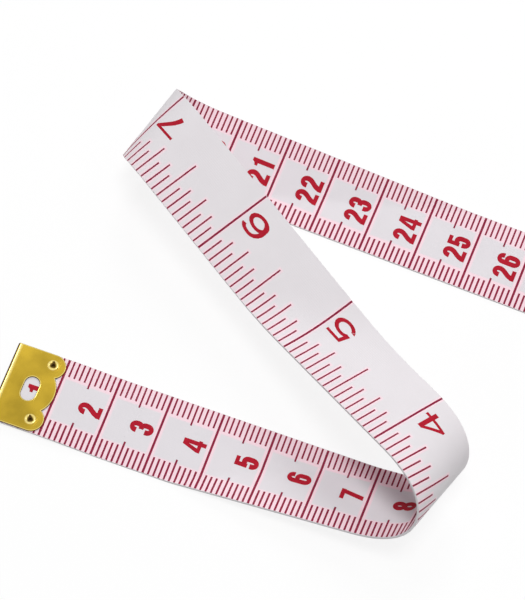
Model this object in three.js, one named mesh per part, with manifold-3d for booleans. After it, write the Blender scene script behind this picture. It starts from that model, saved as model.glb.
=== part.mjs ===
// Cloth tape measure, 150 cm long and a little under 16 mm wide, lying loosely folded on a table.
// The zero end carries a folded brass clip. From there the tape runs flat, lifts, bends over itself,
// crosses back above the table, bends down and under, and runs out flat again.
// The length that is left is wound into a standing roll with the second clip at its core.
// Millimetres, +Z up, the table is at height zero, the origin is the middle of the footprint.
//
// The tape is a strip that doesn't stretch. Every bend in it is a fold: a stretch of even width
// whose straight lines cross the strip at a slant while the strip turns about them. Between folds
// the strip is flat. Distances along the tape are read from the zero end, as its scale is.

import * as THREE from 'three';
import { mergeVertices } from 'three/addons/utils/BufferGeometryUtils.js';
import Module from 'manifold-3d';

const wasm = await Module();
wasm.setup();

// The tape
const TAPE_LENGTH = 1500;
const TAPE_WIDTH = 15.9;
const TAPE_THICKNESS = 0.45;

// Where the zero end lies and which way the tape leaves it, in plan
const ZERO_X = -45.2;
const ZERO_Y = -22.2;
const ZERO_HEADING = -13.5;

// Play between two neighbouring folds where their slanted lines meet at the tape's edge
const FOLD_CLEARANCE = 1;

// Behind the clip the tape comes down to the table in two shallow folds
const SETTLE_CLEARANCE = 1;
const SETTLE_LENGTH = 3;
const SETTLE_TURN = 3.5;

// Then one edge lifts off the table
const LIFT_LENGTH = 6;
const LIFT_TURN = 18.5;
const LIFT_SLANT = 66;

// The lower bend, up and over
const LOWER_BEND_START = 71.6;
const LOWER_BEND_LENGTH = 29.6;
const LOWER_BEND_TURN = 176.5;
const LOWER_BEND_SLANT = 16.5;

// The twist in the crossing run, where the free span sags
const TWIST_LENGTH = 25.2;
const TWIST_TURN = -27.5;
const TWIST_SLANT = -51;

// The upper bend, down and under. Its length follows from the height that it comes down from
const UPPER_BEND_START = 169.6;
const UPPER_BEND_TURN = 175;
const UPPER_BEND_SLANT = 15;

// The last fold lays the tape flat on the table
const LANDING_LENGTH = 8;

// How softly a fold starts and ends: 0 is a plain arc, 1 eases in and out over its whole length
const BEND_EASE_SHARE = 0.5;
const SOFT_EASE_SHARE = 1;

// The wound length, with the play between its turns
const ROLL_START = 290;
const ROLL_PLAY = 0.45;
const ROLL_CORE_RADIUS = 10;
const CORE_BEND_RADIUS = 5;
const CORE_BEND_TURN = 105;

// The brass clip, one folded sheet, a little narrower than the tape. The notches between its lobes
// are at this angle round the side lobes
const CLIP_INSET = 0.1;
const CLIP_SHEET = 0.25;
const CLIP_PLAY = 0.08;
const CLIP_REACH = 10;
const LOBE_RADIUS = 2.4;
const NOTCH_ANGLE = 60;
const WINDOW_CENTRE = 5.3;
const WINDOW_LENGTH = 4.8;
const WINDOW_WIDTH = 2.8;
const CUT_OVERRUN = 2;

// The hollow rivets, two through each clip, placed from its front and from its sides
const RIVET_FROM_FRONT = 2.45;
const RIVET_FROM_SIDE = 2.2;
const RIVET_RIM_RADIUS = 1.1;
const RIVET_RIM_HEIGHT = 0.15;
const RIVET_RIM_PLAY = 0.05;
const RIVET_RIM_ROUND = 0.08;
const RIVET_SHANK_RADIUS = 0.8;
const RIVET_BORE_RADIUS = 0.5;
const RIVET_FUNNEL_RADIUS = 0.9;
const RIVET_FUNNEL_DEPTH = 0.4;
const RIVET_HOLE_PLAY = 0.1;

// Counts of facets
const DEGREES_PER_FACET = 8;
const STEPS_PER_LOOP = 36;
const RIVET_SIDES = 20;
const ARC_STEPS = 10;
const SUM_STEPS = 60;

// Where across the tape its gap to itself is measured, as shares of half its width
const measuringShares = [-1, -0.5, 0, 0.5, 1];

// Sizes that follow from those above
const halfWidth = TAPE_WIDTH / 2;
const halfThickness = TAPE_THICKNESS / 2;
const clipWidth = TAPE_WIDTH - 2 * CLIP_INSET;
const clipInnerRadius = halfThickness + CLIP_PLAY;
const clipOuterRadius = clipInnerRadius + CLIP_SHEET;
const rimSeat = clipOuterRadius + RIVET_RIM_PLAY;
const rimTop = rimSeat + RIVET_RIM_HEIGHT;
const rivetHoleRadius = RIVET_SHANK_RADIUS + RIVET_HOLE_PLAY;
const rivetX = CLIP_REACH - RIVET_FROM_FRONT;
const rivetY = clipWidth / 2 - RIVET_FROM_SIDE;
const tipInset = CLIP_SHEET + CLIP_PLAY;
const radians = THREE.MathUtils.degToRad;

// The strip's direction inside a fold, as an angle, at a share of the fold's length
function turnAt(fold, share) {
  const wave = Math.sin(2 * Math.PI * share) / (2 * Math.PI);
  return fold.turn * (share - fold.ease * wave);
}

// How far a fold of unit length has gone forward and up at a share of its length
function reachAt(fold, share) {
  let forward = 0;
  let upward = 0;
  for (let step = 0; step < SUM_STEPS; step += 1) {
    const angle = turnAt(fold, share * (step + 0.5) / SUM_STEPS);
    forward += Math.cos(angle);
    upward += Math.sin(angle);
  }
  return { forward: share * forward / SUM_STEPS, upward: share * upward / SUM_STEPS };
}

// How far a fold of unit length has still to come down before the strip is level
function dropOfLanding(fold) {
  const reach = reachAt({ turn: -fold.turn, ease: fold.ease }, 1);
  const forward = reach.forward * Math.sin(Math.abs(fold.turn));
  const upward = Math.abs(reach.upward) * Math.cos(fold.turn);
  return forward - upward;
}

function blend(first, firstShare, second, secondShare) {
  return first.clone().multiplyScalar(firstShare).addScaledVector(second, secondShare);
}

// A frame is a place on the tape's middle line: its reading, its point, and the directions along
// the tape, across it (towards its left edge) and out of its centimetre face
function moveAlong(frame, reading) {
  const point = frame.point.clone().addScaledVector(frame.along, reading - frame.reading);
  return { ...frame, reading, point };
}

// A station is a straight line across the tape: its middle, its run across per unit of width and
// the tape's normal there
function flatStation(frame, reading) {
  const place = moveAlong(frame, reading);
  return { reading, middle: place.point, across: frame.across.clone(), normal: frame.up.clone() };
}

function foldAxes(frame, fold) {
  const ruling = blend(frame.along, Math.sin(fold.slant), frame.across, Math.cos(fold.slant));
  const forward = blend(frame.along, Math.cos(fold.slant), frame.across, -Math.sin(fold.slant));
  return { ruling, forward };
}

function foldStation(frame, fold, share) {
  const start = moveAlong(frame, fold.start);
  const { ruling, forward } = foldAxes(frame, fold);
  const reach = reachAt(fold, share);
  const angle = turnAt(fold, share);
  const squareLength = fold.length * Math.cos(fold.slant);
  const middle = start.point.clone()
    .addScaledVector(ruling, share * fold.length * Math.sin(fold.slant))
    .addScaledVector(forward, reach.forward * squareLength)
    .addScaledVector(frame.up, reach.upward * squareLength);
  return {
    reading: fold.start + share * fold.length,
    middle,
    across: ruling.clone().multiplyScalar(1 / Math.cos(fold.slant)),
    normal: blend(frame.up, Math.cos(angle), forward, -Math.sin(angle)),
  };
}

function frameAfter(frame, fold) {
  const { ruling, forward } = foldAxes(frame, fold);
  const turned = blend(forward, Math.cos(fold.turn), frame.up, Math.sin(fold.turn));
  const end = foldStation(frame, fold, 1);
  return {
    reading: end.reading,
    point: end.middle,
    along: blend(ruling, Math.sin(fold.slant), turned, Math.cos(fold.slant)),
    across: blend(ruling, Math.cos(fold.slant), turned, -Math.sin(fold.slant)),
    up: end.normal,
  };
}

function foldStations(frame, fold) {
  const facets = Math.max(2, Math.ceil(Math.abs(THREE.MathUtils.radToDeg(fold.turn)) / DEGREES_PER_FACET));
  const stations = [];
  for (let step = 0; step <= facets; step += 1) {
    stations.push(foldStation(frame, fold, step / facets));
  }
  return stations;
}

// Length of flat tape between two folds whose slanted lines lean apart or together at the edges
function spaceBetween(firstSlant, secondSlant) {
  return halfWidth * Math.abs(Math.tan(firstSlant) - Math.tan(secondSlant)) + FOLD_CLEARANCE;
}

function softFold(start, length, turn, slant) {
  return { start, length, turn, slant, ease: SOFT_EASE_SHARE };
}

// The route of the tape, fold by fold

const heading = radians(ZERO_HEADING);
const zeroFrame = {
  reading: 0,
  point: new THREE.Vector3(ZERO_X, ZERO_Y, rimTop),
  along: new THREE.Vector3(Math.cos(heading), Math.sin(heading), 0),
  across: new THREE.Vector3(-Math.sin(heading), Math.cos(heading), 0),
  up: new THREE.Vector3(0, 0, 1),
};

const settleTurn = radians(SETTLE_TURN);
const leaveClip = softFold(CLIP_REACH + SETTLE_CLEARANCE, SETTLE_LENGTH, -settleTurn, 0);
const slopeFrame = frameAfter(zeroFrame, leaveClip);
const settleDrop = SETTLE_LENGTH * dropOfLanding(softFold(0, 1, settleTurn, 0));
const settleRun = (slopeFrame.point.z - halfThickness - settleDrop) / Math.sin(settleTurn);
const settle = softFold(slopeFrame.reading + settleRun, SETTLE_LENGTH, settleTurn, 0);
const levelFrame = frameAfter(slopeFrame, settle);

const lowerBend = {
  start: LOWER_BEND_START,
  length: LOWER_BEND_LENGTH,
  turn: radians(LOWER_BEND_TURN),
  slant: radians(LOWER_BEND_SLANT),
  ease: BEND_EASE_SHARE,
};
const liftSlant = radians(LIFT_SLANT);
const liftStart = lowerBend.start - spaceBetween(liftSlant, lowerBend.slant) - LIFT_LENGTH;
const lift = softFold(liftStart, LIFT_LENGTH, radians(LIFT_TURN), liftSlant);
const liftedFrame = frameAfter(levelFrame, lift);
const crossingFrame = frameAfter(liftedFrame, lowerBend);

const twistSlant = radians(TWIST_SLANT);
const twistStart = crossingFrame.reading + spaceBetween(lowerBend.slant, twistSlant);
const twist = softFold(twistStart, TWIST_LENGTH, radians(TWIST_TURN), twistSlant);
const twistedFrame = frameAfter(crossingFrame, twist);

// The upper bend is first worked out for a unit length. The strip that comes out of it slopes, and
// the landing fold turns about the level line in that slope, so that the strip ends level
const upperStart = moveAlong(twistedFrame, UPPER_BEND_START);
const upperUnit = {
  start: UPPER_BEND_START,
  length: 1,
  turn: radians(UPPER_BEND_TURN),
  slant: radians(UPPER_BEND_SLANT),
  ease: BEND_EASE_SHARE,
};
const unitFrame = frameAfter(upperStart, upperUnit);
const levelLine = new THREE.Vector3(0, 0, 1).cross(unitFrame.up).normalize();
if (levelLine.dot(unitFrame.across) < 0) {
  levelLine.negate();
}
const landingSlant = Math.atan2(levelLine.dot(unitFrame.along), levelLine.dot(unitFrame.across));
const downhill = foldAxes(unitFrame, { slant: landingSlant }).forward;
const landingTurn = -Math.sign(downhill.z) * Math.acos(unitFrame.up.z);
const landingDrop = LANDING_LENGTH * Math.cos(landingSlant) * dropOfLanding(softFold(0, 1, landingTurn, 0));
const landingSpace = spaceBetween(landingSlant, upperUnit.slant);
const fallPerLength = unitFrame.point.z - upperStart.point.z;
const fallToLanding = halfThickness + landingDrop - landingSpace * unitFrame.along.z - upperStart.point.z;
const upperBend = { ...upperUnit, length: fallToLanding / fallPerLength };
const slopingFrame = frameAfter(upperStart, upperBend);
const landing = softFold(slopingFrame.reading + landingSpace, LANDING_LENGTH, landingTurn, landingSlant);
const outerFrame = frameAfter(slopingFrame, landing);

// The roll is wound at an even pitch about a core circle, and its outer radius follows from the
// length that has to go in. The last turn bends inwards and holds the second clip across the core

const coreBendTurn = radians(CORE_BEND_TURN);
const coreBendLength = CORE_BEND_RADIUS * coreBendTurn;
const coreStraight = CLIP_REACH + SETTLE_CLEARANCE;
const woundLength = TAPE_LENGTH - ROLL_START - coreBendLength - coreStraight;
const radiusPerTurn = (TAPE_THICKNESS + ROLL_PLAY) / (2 * Math.PI);
const rollRadius = Math.sqrt(ROLL_CORE_RADIUS ** 2 + 2 * radiusPerTurn * woundLength);
const rollTurn = (rollRadius - ROLL_CORE_RADIUS) / radiusPerTurn;
const rollBase = moveAlong(outerFrame, ROLL_START);

function rollStation(angle) {
  const radius = rollRadius - radiusPerTurn * angle;
  const forward = radius * Math.sin(angle) + radiusPerTurn * (1 - Math.cos(angle));
  const upward = rollRadius - radius * Math.cos(angle) - radiusPerTurn * Math.sin(angle);
  return {
    reading: ROLL_START + rollRadius * angle - radiusPerTurn * angle ** 2 / 2,
    middle: rollBase.point.clone().addScaledVector(rollBase.along, forward).addScaledVector(rollBase.up, upward),
    across: rollBase.across.clone(),
    normal: blend(rollBase.up, Math.cos(angle), rollBase.along, -Math.sin(angle)),
  };
}

function rollStations() {
  const step = 2 * Math.PI / STEPS_PER_LOOP;
  const stations = [];
  for (let angle = 0; angle < rollTurn - step / 2; angle += step) {
    stations.push(rollStation(angle));
  }
  stations.push(rollStation(rollTurn));
  return stations;
}

const coreStart = rollStation(rollTurn);
const coreFrame = {
  reading: coreStart.reading,
  point: coreStart.middle,
  along: blend(rollBase.along, Math.cos(rollTurn), rollBase.up, Math.sin(rollTurn)),
  across: coreStart.across,
  up: coreStart.normal,
};
const coreBend = { start: coreFrame.reading, length: coreBendLength, turn: coreBendTurn, slant: 0, ease: 0 };
const farFrame = moveAlong(frameAfter(coreFrame, coreBend), TAPE_LENGTH);

// A length of tape as one closed solid: four corners at each station, joined from one to the next

function corners(station) {
  return [
    [-halfWidth, -halfThickness],
    [halfWidth, -halfThickness],
    [halfWidth, halfThickness],
    [-halfWidth, halfThickness],
  ].map(([side, height]) => station.middle.clone()
    .addScaledVector(station.across, side)
    .addScaledVector(station.normal, height));
}

function tapeGeometry(stations) {
  const rings = stations.map(corners);
  const positions = rings.flat().flatMap((corner) => corner.toArray());
  const indices = [];
  const last = rings.length - 1;
  for (let ring = 0; ring < last; ring += 1) {
    for (let side = 0; side < 4; side += 1) {
      const near = 4 * ring + side;
      const beside = 4 * ring + (side + 1) % 4;
      indices.push(near, beside, near + 4);
      indices.push(beside, beside + 4, near + 4);
    }
  }
  indices.push(0, 2, 1, 0, 3, 2);
  indices.push(4 * last, 4 * last + 1, 4 * last + 2, 4 * last, 4 * last + 2, 4 * last + 3);
  const geometry = new THREE.BufferGeometry();
  geometry.setAttribute('position', new THREE.Float32BufferAttribute(positions, 3));
  geometry.setIndex(indices);
  return geometry;
}

// Solids for cutting and joining

function toSolid(geometry) {
  const plain = geometry.clone();
  plain.deleteAttribute('normal');
  plain.deleteAttribute('uv');
  const merged = mergeVertices(plain);
  return new wasm.Manifold(new wasm.Mesh({
    numProp: 3,
    vertProperties: new Float32Array(merged.attributes.position.array),
    triVerts: new Uint32Array(merged.index.array),
  }));
}

function toGeometry(solid) {
  const mesh = solid.getMesh();
  const geometry = new THREE.BufferGeometry();
  geometry.setAttribute('position', new THREE.BufferAttribute(mesh.vertProperties, 3));
  geometry.setIndex(new THREE.BufferAttribute(mesh.triVerts, 1));
  return geometry;
}

// The clip, in a frame of its own: the fold's outer edge at zero, x into the tape, y across it
// and z out of its centimetre face

function foldedSheet() {
  const reach = CLIP_REACH + CUT_OVERRUN;
  const section = new THREE.Shape();
  section.moveTo(reach, clipOuterRadius);
  section.lineTo(clipOuterRadius, clipOuterRadius);
  section.absarc(clipOuterRadius, 0, clipOuterRadius, Math.PI / 2, 3 * Math.PI / 2, false);
  section.lineTo(reach, -clipOuterRadius);
  section.lineTo(reach, -clipInnerRadius);
  section.lineTo(clipOuterRadius, -clipInnerRadius);
  section.absarc(clipOuterRadius, 0, clipInnerRadius, 3 * Math.PI / 2, Math.PI / 2, true);
  section.lineTo(reach, clipInnerRadius);
  section.closePath();
  const geometry = new THREE.ExtrudeGeometry(section, {
    depth: clipWidth,
    bevelEnabled: false,
    curveSegments: ARC_STEPS,
  });
  geometry.translate(0, 0, -clipWidth / 2);
  geometry.rotateX(Math.PI / 2);
  return geometry;
}

// The leaf's outline: a rounded lobe round each rivet and a broad shallow one between them, which
// reaches as far and runs from notch to notch
function leafOutline() {
  const lobeX = CLIP_REACH - LOBE_RADIUS;
  const lobeY = clipWidth / 2 - LOBE_RADIUS;
  const notchAngle = radians(NOTCH_ANGLE);
  const notchX = lobeX + LOBE_RADIUS * Math.cos(notchAngle);
  const notchY = lobeY - LOBE_RADIUS * Math.sin(notchAngle);
  const notchDepth = CLIP_REACH - notchX;
  const middleRadius = (notchY ** 2 + notchDepth ** 2) / (2 * notchDepth);
  const middleX = CLIP_REACH - middleRadius;
  const middleAngle = Math.atan2(notchY, notchX - middleX);
  const outline = new THREE.Shape();
  outline.moveTo(-CUT_OVERRUN, clipWidth / 2 + CUT_OVERRUN);
  outline.lineTo(-CUT_OVERRUN, -clipWidth / 2 - CUT_OVERRUN);
  outline.lineTo(lobeX, -clipWidth / 2 - CUT_OVERRUN);
  outline.absarc(lobeX, -lobeY, LOBE_RADIUS, -Math.PI / 2, notchAngle, false);
  outline.absarc(middleX, 0, middleRadius, -middleAngle, middleAngle, false);
  outline.absarc(lobeX, lobeY, LOBE_RADIUS, -notchAngle, Math.PI / 2, false);
  outline.lineTo(lobeX, clipWidth / 2 + CUT_OVERRUN);
  outline.closePath();
  return outline;
}

// The window: a slot with round ends, its long way across the tape
function windowOutline() {
  const radius = WINDOW_WIDTH / 2;
  const endY = (WINDOW_LENGTH - WINDOW_WIDTH) / 2;
  const outline = new THREE.Shape();
  outline.moveTo(WINDOW_CENTRE + radius, -endY);
  outline.lineTo(WINDOW_CENTRE + radius, endY);
  outline.absarc(WINDOW_CENTRE, endY, radius, 0, Math.PI, false);
  outline.lineTo(WINDOW_CENTRE - radius, -endY);
  outline.absarc(WINDOW_CENTRE, -endY, radius, Math.PI, 2 * Math.PI, false);
  outline.closePath();
  return outline;
}

function throughCut(outline) {
  const height = 2 * (clipOuterRadius + CUT_OVERRUN);
  const geometry = new THREE.ExtrudeGeometry(outline, {
    depth: height,
    bevelEnabled: false,
    curveSegments: ARC_STEPS,
  });
  geometry.translate(0, 0, -height / 2);
  return toSolid(geometry);
}

function rivetHole(side) {
  const height = 2 * (clipOuterRadius + CUT_OVERRUN);
  const geometry = new THREE.CylinderGeometry(rivetHoleRadius, rivetHoleRadius, height, RIVET_SIDES);
  geometry.rotateX(Math.PI / 2);
  geometry.translate(rivetX, side * rivetY, 0);
  return toSolid(geometry);
}

function clipGeometry() {
  let solid = toSolid(foldedSheet()).intersect(throughCut(leafOutline()));
  solid = solid.subtract(throughCut(windowOutline()));
  solid = solid.subtract(rivetHole(1)).subtract(rivetHole(-1));
  return toGeometry(solid);
}

// A hollow rivet, the same at both ends: a rim on each leaf, a shank through the holes and a bore
// that opens in a funnel
function rivetGeometry() {
  const rim = [
    [RIVET_BORE_RADIUS, rimTop - RIVET_FUNNEL_DEPTH],
    [RIVET_FUNNEL_RADIUS, rimTop],
    [RIVET_RIM_RADIUS - RIVET_RIM_ROUND, rimTop],
    [RIVET_RIM_RADIUS, rimTop - RIVET_RIM_ROUND],
    [RIVET_RIM_RADIUS, rimSeat],
    [RIVET_SHANK_RADIUS, rimSeat],
  ];
  const mirrored = rim.map(([radius, height]) => [radius, -height]).reverse();
  const profile = [...mirrored, ...rim];
  profile.push(profile[0]);
  const points = profile.reverse().map(([radius, height]) => new THREE.Vector2(radius, height));
  const geometry = new THREE.LatheGeometry(points, RIVET_SIDES);
  geometry.rotateX(Math.PI / 2);
  return geometry;
}

// Materials

const tapeMaterial = new THREE.MeshStandardMaterial({ color: 0xe4e3e6, roughness: 0.45, metalness: 0 });
const brassMaterial = new THREE.MeshStandardMaterial({ color: 0xc8a93a, roughness: 0.35, metalness: 1 });

const tapeMeasure = new THREE.Group();
tapeMeasure.name = 'tape_measure';

function addTape(name, geometry) {
  const mesh = new THREE.Mesh(geometry, tapeMaterial);
  mesh.name = name;
  tapeMeasure.add(mesh);
}

// A group that stands on the tape's end with its x into the tape
function endGroup(frame, inward) {
  const group = new THREE.Group();
  const basis = new THREE.Matrix4().makeBasis(
    frame.along.clone().multiplyScalar(inward),
    frame.across.clone().multiplyScalar(inward),
    frame.up,
  );
  group.quaternion.setFromRotationMatrix(basis);
  group.position.copy(frame.point);
  group.updateMatrix();
  return group;
}

const zeroEnd = endGroup(zeroFrame, 1);
const farEnd = endGroup(farFrame, -1);

// The tape's end with its two rivet holes, cut square to the clip
function pierced(stations, end) {
  let solid = toSolid(tapeGeometry(stations));
  for (const side of [1, -1]) {
    const hole = toSolid(toGeometry(rivetHole(side)).applyMatrix4(end.matrix));
    solid = solid.subtract(hole);
  }
  return toGeometry(solid);
}

const zeroRun = [
  flatStation(zeroFrame, tipInset),
  ...foldStations(zeroFrame, leaveClip),
  ...foldStations(slopeFrame, settle),
  ...foldStations(levelFrame, lift),
  foldStation(liftedFrame, lowerBend, 0),
];
const lowerRun = foldStations(liftedFrame, lowerBend);
const crossingRun = [
  foldStation(liftedFrame, lowerBend, 1),
  ...foldStations(crossingFrame, twist),
  foldStation(upperStart, upperBend, 0),
];
const upperRun = foldStations(upperStart, upperBend);
const outerRun = [
  foldStation(upperStart, upperBend, 1),
  ...foldStations(slopingFrame, landing),
  flatStation(outerFrame, ROLL_START),
];
const woundRun = [
  ...rollStations(),
  ...foldStations(coreFrame, coreBend).slice(1),
  flatStation(farFrame, TAPE_LENGTH - tipInset),
];

addTape('tape_zero_run', pierced(zeroRun, zeroEnd));
addTape('tape_lower_bend', tapeGeometry(lowerRun));
addTape('tape_crossing_run', tapeGeometry(crossingRun));
addTape('tape_upper_bend', tapeGeometry(upperRun));
addTape('tape_outer_run', tapeGeometry(outerRun));
addTape('tape_roll', pierced(woundRun, farEnd));

function addClip(name, end) {
  const clip = new THREE.Mesh(clipGeometry(), brassMaterial);
  clip.name = name;
  end.add(clip);
  for (const [letter, side] of [['a', 1], ['b', -1]]) {
    const rivet = new THREE.Mesh(rivetGeometry(), brassMaterial);
    rivet.name = `${name}_rivet_${letter}`;
    rivet.position.set(rivetX, side * rivetY, 0);
    end.add(rivet);
  }
  tapeMeasure.add(end);
}

addClip('zero_clip', zeroEnd);
addClip('far_clip', farEnd);

// The least gap of the tape to itself, measured on points of both faces

function facePoints(stations) {
  const points = [];
  for (const station of stations) {
    for (const share of measuringShares) {
      for (const face of [-1, 1]) {
        const point = station.middle.clone()
          .addScaledVector(station.across, share * halfWidth)
          .addScaledVector(station.normal, face * halfThickness);
        points.push({ point, reading: station.reading });
      }
    }
  }
  return points;
}

function leastGap(stations, apart) {
  const points = facePoints(stations);
  let least = Infinity;
  for (let first = 0; first < points.length; first += 1) {
    for (let second = first + 1; second < points.length; second += 1) {
      if (Math.abs(points[first].reading - points[second].reading) > apart) {
        least = Math.min(least, points[first].point.distanceTo(points[second].point));
      }
    }
  }
  return least;
}

const rollLoops = rollTurn / (2 * Math.PI);
const rollGap = leastGap(woundRun, Math.PI * ROLL_CORE_RADIUS);
const foldGap = leastGap([...zeroRun, ...lowerRun, ...crossingRun, ...upperRun, ...outerRun], 2 * TAPE_WIDTH);
console.log(`roll: ${rollLoops.toFixed(2)} loops, radius ${rollRadius.toFixed(2)} mm, least gap ${rollGap.toFixed(3)} mm`);
console.log(`folded runs: least gap ${foldGap.toFixed(2)} mm`);

// The origin goes to the middle of the footprint, on the table

const product = new THREE.Group();
product.add(tapeMeasure);
product.updateMatrixWorld(true);
const box = new THREE.Box3().setFromObject(tapeMeasure, true);
const centre = box.getCenter(new THREE.Vector3());
tapeMeasure.position.set(-centre.x, -centre.y, -box.min.z);
console.log(`footprint centre was at ${centre.x.toFixed(3)}, ${centre.y.toFixed(3)}, base ${box.min.z.toFixed(4)}`);

export default product;
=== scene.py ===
"""Looks of a cloth tape measure that lies in a loose Z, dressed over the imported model.

Metres, +Z up, the table is at height zero. The tape is one strip that doesn't stretch. It and its
print are laid out flat, by reading (distance from the zero end) and side (place across, towards
the left edge), and folding puts them where the model's own tape lies.
"""

from collections import namedtuple
from functools import partial
from math import acos, atan2, ceil, cos, degrees, hypot, pi, radians, sin, sqrt, tan

import bmesh
import bpy
import numpy as np
from mathutils import Matrix, Vector
from mathutils.geometry import delaunay_2d_cdt


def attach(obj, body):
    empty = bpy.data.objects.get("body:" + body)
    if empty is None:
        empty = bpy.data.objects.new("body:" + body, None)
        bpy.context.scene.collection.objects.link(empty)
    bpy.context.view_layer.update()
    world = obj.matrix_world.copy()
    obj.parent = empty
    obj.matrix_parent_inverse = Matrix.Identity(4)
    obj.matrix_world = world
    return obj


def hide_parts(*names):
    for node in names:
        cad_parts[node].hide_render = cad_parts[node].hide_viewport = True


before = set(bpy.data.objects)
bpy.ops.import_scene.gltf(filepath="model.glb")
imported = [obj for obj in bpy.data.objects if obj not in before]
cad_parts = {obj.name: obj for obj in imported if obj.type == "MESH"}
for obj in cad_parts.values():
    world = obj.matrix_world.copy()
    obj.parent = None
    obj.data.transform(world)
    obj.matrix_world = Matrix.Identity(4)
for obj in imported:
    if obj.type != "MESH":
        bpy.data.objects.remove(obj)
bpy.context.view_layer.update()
scene = bpy.context.scene

MM = 0.001
INCH = 25.4
CENTIMETRE = 10

# Camera: where the photograph was taken from, by its right, up and back directions

CAMERA_PLACE = (-0.026120, -0.193276, 0.416939)
CAMERA_RIGHT = (0.993469, 0.103108, 0.048868)
CAMERA_UP = (-0.114102, 0.897744, 0.425483)
CAMERA_BACK = (0.0, -0.428280, 0.903646)
CAMERA_LENS = 148.89
CAMERA_SENSOR = 36

# Lamps: place, aim and size in metres, power in watts, and whether metal mirrors the lamp

LAMPS = {
    "key": ((0.04, 0.03, 1.4), (-0.02, 0, 0), 0.6, 11.0, False),
    "back": ((0, 1.15, 0.8), (-0.02, 0, 0), 0.6, 5.6, False),
    "right_fill": ((0.35, 0.2, 0.4), (0.05, 0, 0), 0.2, 0.2, True),
    "left_gleam": ((-0.45, 0.55, 1.05), (-0.06, -0.02, 0), 0.2, 0.8, True),
    "right_gleam": ((0.75, -0.55, 0.75), (-0.06, -0.02, 0), 0.2, 0.5, True),
}
SKY = 0.18
FLOOR_SIZE = 3.0
FLOOR_SHADOW = 0.14
FLOOR_BOUNCE = 0.8

# Millimetres from here on, as in the model. The tape

TAPE_LENGTH = 1500
TAPE_WIDTH = 15.9
TAPE_THICKNESS = 0.45
EDGE_ROUND = 0.08

# Where the zero end lies and which way the tape leaves it

ZERO_X = -71.320
ZERO_Y = -17.976
ZERO_HEADING = -13.5

# The folds of its route. Turns and slants are in degrees

FOLD_CLEARANCE = 1
SETTLE_CLEARANCE = 1
SETTLE_LENGTH = 3
SETTLE_TURN = 3.5
LIFT_LENGTH = 6
LIFT_TURN = 18.5
LIFT_SLANT = 66
LOWER_BEND_START = 71.6
LOWER_BEND_LENGTH = 29.6
LOWER_BEND_TURN = 176.5
LOWER_BEND_SLANT = 16.5
TWIST_LENGTH = 25.2
TWIST_TURN = -27.5
TWIST_SLANT = -51
UPPER_BEND_START = 169.6
UPPER_BEND_TURN = 175
UPPER_BEND_SLANT = 15
LANDING_LENGTH = 8
BEND_EASE_SHARE = 0.5
SOFT_EASE_SHARE = 1

ROLL_START = 290
ROLL_PLAY = 0.45
ROLL_CORE_RADIUS = 10
CORE_BEND_RADIUS = 5
CORE_BEND_TURN = 105

# The brass clip, with the painted highlights and painted shade of its edges and its fold

CLIP_INSET = 0.1
CLIP_SHEET = 0.25
CLIP_PLAY = 0.08
CLIP_REACH = 10
LOBE_RADIUS = 2.4
NOTCH_ANGLE = 60
WINDOW_CENTRE = 5.3
WINDOW_LENGTH = 4.8
WINDOW_WIDTH = 2.8
EDGE_ROLL = 0.2
EDGE_DROP = 0.11
EDGE_BREAK = 0.03
# A highlight painted along the rolled edge, and painted shade on its sheared side
EDGE_PAINTED_HIGHLIGHT = 0.9
EDGE_PAINTED_HIGHLIGHT_END = pi / 4
EDGE_PAINTED_SHADE = 0.9
EDGE_PAINTED_SHADE_START = 0.6
EDGE_PAINTED_SHADE_RISE = 2
# A highlight painted in a band just past the fold, and painted shade on the fold's back
FOLD_PAINTED_HIGHLIGHT = 0.9
FOLD_PAINTED_HIGHLIGHT_AT = 0.05
FOLD_PAINTED_HIGHLIGHT_REACH = 0.15
FOLD_PAINTED_SHADE = 0.97
FOLD_PAINTED_SHADE_START = 1 / 6
FOLD_PAINTED_SHADE_RISE = 9
DISH_DEPTH = 0.035
DISH_RADIUS = 1.5

# Its rivets

RIVET_FROM_FRONT = 2.45
RIVET_FROM_SIDE = 2.2
RIVET_SHANK_RADIUS = 0.8
RIVET_HOLE_PLAY = 0.1
RIM_HEIGHT = 0.15
RIM_PLAY = 0.05
RIM_RADIUS = 1.04
RIM_CREST = 0.92
# A highlight painted on the rivet's rim
RIM_PAINTED_HIGHLIGHT = 0.8
BORE_RADIUS = 0.33
BORE_MOUTH = 0.4
BORE_DEPTH = 0.3
BORE_CORNERS = 3
BORE_SPREAD = 0.12
BORE_SHIFT = 0.2
# Shade painted down in the bore, darker towards the split
BORE_PAINTED_SHADE = 0.88
BORE_PAINTED_SHADE_START = 0.7
BORE_PAINTED_SHADE_RISE = 2.2
SPLIT_DIRECTIONS = {"a": 1.7, "b": 2.0}
SPLIT_ANGLE = 0.5
SPLIT_DEPTH = 0.05
SPLIT_PAINTED_SHADE = 1.2

# How finely the strip, the clip, the rivets and the numerals are cut

DEGREES_PER_FACET = 2.5
ROLL_DEGREES_PER_FACET = 3
FLAT_STEP = 2.5
TABLE_STEPS = 2000
ARC_DEGREES = 6
PLATE_STEP = 0.5
GRID_CLEARANCE = PLATE_STEP / 3
FOLD_STEPS = 10
EDGE_STEPS = 6
RIVET_SIDES = 60
CURL_STEPS = 6
FUNNEL_STEPS = 9
PUNCH_DEPTH = 4 * TAPE_THICKNESS
NUMERAL_ARC_DEGREES = 20
CURVE_POINTS = 8
STROKE_CLOSENESS = 0.01
CUT_CLOSENESS = 0.0001
WELD = 0.0005 * MM
SHARP_ANGLE = radians(22)

# The ring round the tape's section: how many faces each printed side has, and how many points
# half of it has. Its flat map is a square with this side, and rows of tape lie on it side by side

RING_FACES = 2
RING_HALF = 7
UV_SIDE = 290.0
UV_ROWS = 5
UV_ROW_LENGTH = 250.0
UV_ROW_HEIGHT = 40.0

# The print: how far it stands on and reaches into the surface, its lines and ticks

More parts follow.
